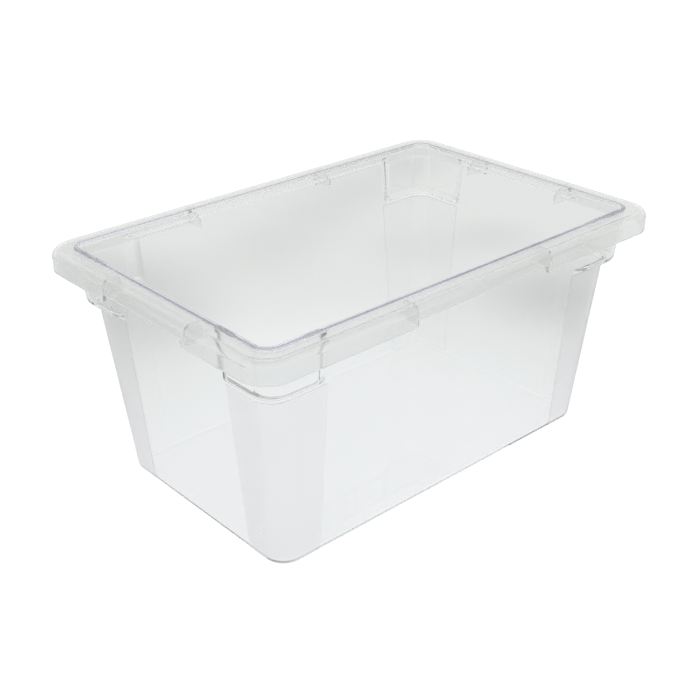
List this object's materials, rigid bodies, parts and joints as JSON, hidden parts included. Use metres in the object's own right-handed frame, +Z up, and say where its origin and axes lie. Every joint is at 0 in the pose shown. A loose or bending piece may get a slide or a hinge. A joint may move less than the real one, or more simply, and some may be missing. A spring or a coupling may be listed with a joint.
{
  "type": "clear food storage box",
  "caption": "Clear rectangular food box with leaning walls, textured corners, inner stacking ledges and a turned-down rim round a raised lid lip.",
  "frame": {"origin": "centre of the floor's underside", "axes": "+X along the length towards the right end, +Y across the width towards the back, +Z up out of the mouth"},
  "size_m": [0.4572, 0.3048, 0.2191],
  "materials": {
    "clear_polycarbonate": "clear, glossy, with fine wear scratches",
    "textured_polycarbonate": "clear, with a fine moulded texture that blurs what is behind it"
  },
  "bodies": {
    "root": {"floor_panel": "clear_polycarbonate", "wall_front": "clear_polycarbonate", "wall_right": "clear_polycarbonate", "wall_back": "clear_polycarbonate", "wall_left": "clear_polycarbonate", "corner_column_front_left": "textured_polycarbonate", "stacking_pocket_front_left": "clear_polycarbonate", "corner_column_front_right": "textured_polycarbonate", "stacking_pocket_front_right": "clear_polycarbonate", "corner_column_back_right": "textured_polycarbonate", "stacking_pocket_back_right": "clear_polycarbonate", "corner_column_back_left": "textured_polycarbonate", "stacking_pocket_back_left": "clear_polycarbonate", "rim_front": "clear_polycarbonate", "rim_right": "clear_polycarbonate", "rim_back": "clear_polycarbonate", "rim_left": "clear_polycarbonate", "rim_corner_front_left": "clear_polycarbonate", "rim_corner_front_right": "clear_polycarbonate", "rim_corner_back_right": "clear_polycarbonate", "rim_corner_back_left": "clear_polycarbonate", "rim_rib_front_first": "clear_polycarbonate", "rim_rib_front_second": "clear_polycarbonate", "rim_rib_right_first": "clear_polycarbonate", "rim_rib_right_second": "clear_polycarbonate", "rim_rib_back_first": "clear_polycarbonate", "rim_rib_back_second": "clear_polycarbonate", "rim_rib_left_first": "clear_polycarbonate", "rim_rib_left_second": "clear_polycarbonate"}
  },
  "joints": []
}
